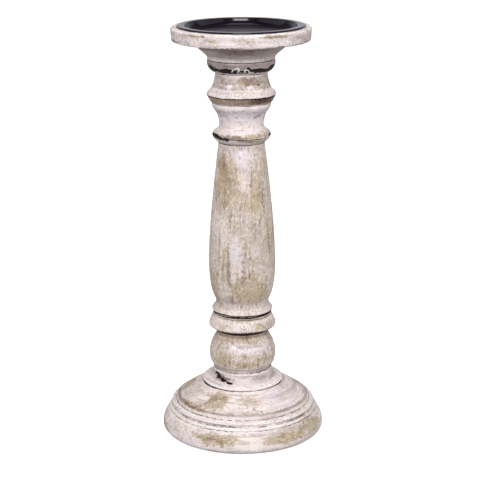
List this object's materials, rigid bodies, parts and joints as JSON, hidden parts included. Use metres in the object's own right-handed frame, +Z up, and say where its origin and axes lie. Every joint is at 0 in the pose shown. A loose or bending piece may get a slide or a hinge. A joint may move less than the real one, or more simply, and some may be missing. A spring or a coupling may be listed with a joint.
{
  "type": "wooden pillar candlestick",
  "caption": "Tall turned wooden candlestick with a stepped round foot, ringed vase column and a flat cup holding a loose black metal pan for a pillar candle.",
  "frame": {"origin": "centre of the underside of the felt pads, on the surface the candlestick stands on", "axes": "+Z up along the turning axis; +X and +Y are level, and the felt pads lie on the diagonals between them"},
  "size_m": [0.1208, 0.1208, 0.3061],
  "materials": {
    "limewashed_wood": "matt limewash over tan wood, rubbed back, dark wax in the grooves",
    "black_enamel": "glossy black enamel",
    "zinc_steel": "bright zinc plate",
    "brown_felt": "pressed wool felt"
  },
  "bodies": {
    "candlestick": {"base": "limewashed_wood", "knop": "limewashed_wood", "column": "limewashed_wood", "neck_spool": "limewashed_wood", "candle_cup": "limewashed_wood", "tie_rod": "zinc_steel", "top_washer": "zinc_steel", "top_nut": "zinc_steel", "bottom_washer": "zinc_steel", "bottom_nut": "zinc_steel", "felt_pad_1": "brown_felt", "felt_pad_2": "brown_felt", "felt_pad_3": "brown_felt", "felt_pad_4": "brown_felt"},
    "pan": {"candle_pan": "black_enamel"}
  },
  "joints": [
    {"name": "pan_lift", "type": "slide", "parent": "candlestick", "child": "pan", "axis": [0, 0, 1], "range_m": [0, 0.03]}
  ]
}
